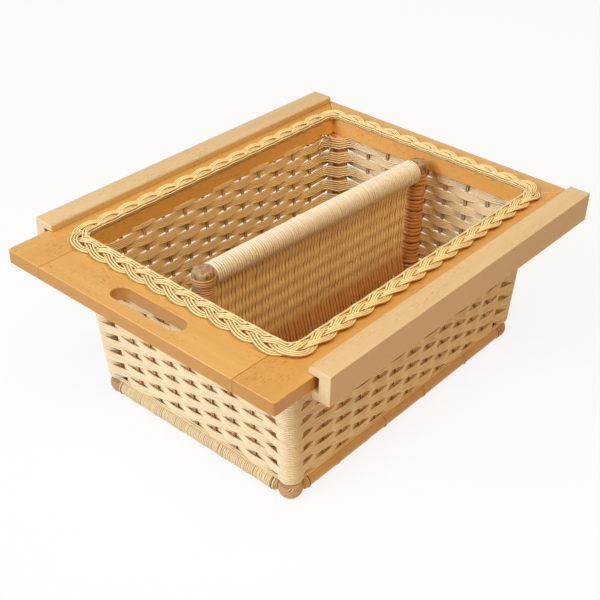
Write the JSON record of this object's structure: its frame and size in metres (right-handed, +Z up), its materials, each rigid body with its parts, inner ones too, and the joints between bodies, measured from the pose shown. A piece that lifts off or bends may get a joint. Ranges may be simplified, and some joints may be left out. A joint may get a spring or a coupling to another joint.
{
  "type": "divided storage basket",
  "caption": "Woven cane basket with a wrapped divider, hung in a wooden frame with a hand hole that slides in two grooved side runners.",
  "frame": {"origin": "on the floor under the middle of the wooden frame", "axes": "+Z up, front with the hand hole towards -Y, right-hand runner towards +X"},
  "size_m": [0.3644, 0.465, 0.1939],
  "materials": {
    "cane": "satin",
    "cane_shade": "satin",
    "rattan": "satin",
    "grey_rattan": "matte",
    "liner_wood": "satin",
    "frame_wood": "satin",
    "runner_wood": "satin",
    "wire": "satin"
  },
  "bodies": {
    "basket": {"front_weave_outside_posts": "cane", "front_weave_inside_posts": "cane", "front_liner_and_stakes": "liner_wood", "back_weave_outside_posts": "cane", "back_weave_inside_posts": "cane", "back_liner_and_stakes": "liner_wood", "left_weave_outside_posts": "cane", "left_weave_inside_posts": "cane", "left_liner_and_stakes": "liner_wood", "right_weave_outside_posts": "cane", "right_weave_inside_posts": "cane", "right_liner_and_stakes": "liner_wood", "front_left_post": "rattan", "front_left_foot": "cane_shade", "front_left_inner_wrap": "cane_shade", "front_right_post": "rattan", "front_right_foot": "cane_shade", "front_right_inner_wrap": "cane_shade", "back_left_post": "rattan", "back_left_foot": "cane_shade", "back_left_inner_wrap": "cane_shade", "back_right_post": "rattan", "back_right_foot": "cane_shade", "back_right_inner_wrap": "cane_shade", "front_bottom_rail": "cane", "back_bottom_rail": "cane", "left_bottom_rail": "rattan", "right_bottom_rail": "rattan", "floor_mat": "cane_shade", "left_frame_rail": "frame_wood", "right_frame_rail": "frame_wood", "front_frame_board": "frame_wood", "back_frame_board": "frame_wood", "plaited_rim": "cane", "divider_front_post": "grey_rattan", "divider_back_post": "rattan", "divider_rod": "cane", "divider_bottom_rod": "rattan", "divider_panel": "cane_shade", "divider_binding": "cane", "screw_eye": "wire"},
    "left_slide": {"left_runner": "runner_wood"},
    "right_slide": {"right_runner": "runner_wood"},
    "hanging_ring": {"wire_ring": "wire"}
  },
  "joints": [
    {"name": "left_runner_slide", "type": "slide", "parent": "basket", "child": "left_slide", "axis": [0, 1, 0], "range_m": [-0.046, 0.28]},
    {"name": "right_runner_slide", "type": "slide", "parent": "basket", "child": "right_slide", "axis": [0, 1, 0], "range_m": [-0.046, 0.28]},
    {"name": "ring_swing", "type": "hinge", "parent": "basket", "child": "hanging_ring", "pos_m": [-0.1211, 0.1735, 0.17175], "axis": [0, -1, 0], "range_deg": [0, 95]}
  ],
  "couplings": [
    {"joint": "right_runner_slide", "follows": "left_runner_slide", "ratio": 1}
  ]
}
